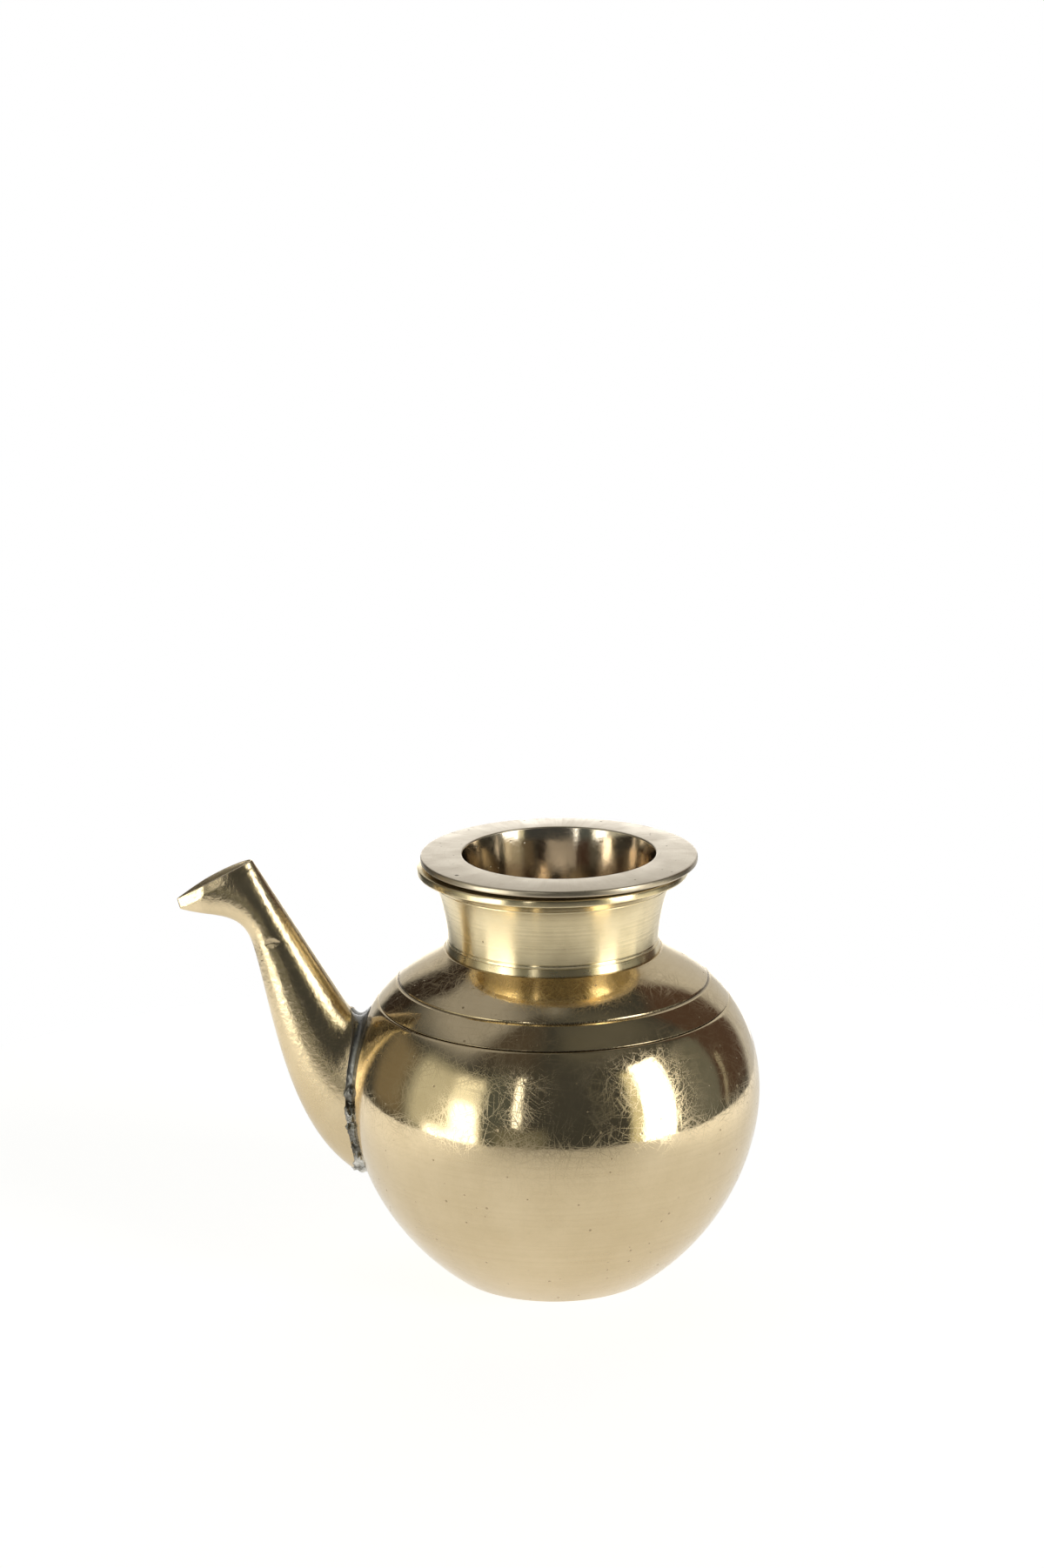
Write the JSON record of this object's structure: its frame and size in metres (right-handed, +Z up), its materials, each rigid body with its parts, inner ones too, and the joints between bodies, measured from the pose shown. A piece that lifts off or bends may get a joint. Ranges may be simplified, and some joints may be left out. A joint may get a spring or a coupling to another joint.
{
  "type": "spouted lota",
  "caption": "Round-bellied metal water pot with a flanged neck, a lift-out mouth insert and a soldered side spout for pouring.",
  "frame": {"origin": "on the pot's axis, at its flat base", "axes": "+Z up along the pot's axis, -X towards the spout, Y = 0 is the mirror plane"},
  "size_m": [0.1962, 0.1398, 0.1466],
  "materials": {
    "belly_brass": "polished, with fine scratches",
    "neck_brass": "brushed around the axis",
    "insert_brass": "dull, finely pitted",
    "spout_brass": "polished, with fine scratches",
    "braze": "scraped",
    "solder": "rough grey solder"
  },
  "bodies": {
    "pot": {"belly_bowl": "belly_brass", "belly_shoulder": "belly_brass", "belly_seam": "braze", "neck_collar": "neck_brass", "neck_seam": "braze", "spout": "spout_brass", "spout_solder": "solder"},
    "insert": {"mouth_insert": "insert_brass"}
  },
  "joints": [
    {"name": "insert_lift", "type": "slide", "parent": "pot", "child": "insert", "axis": [0, 0, 1], "range_m": [0, 0.04]}
  ]
}
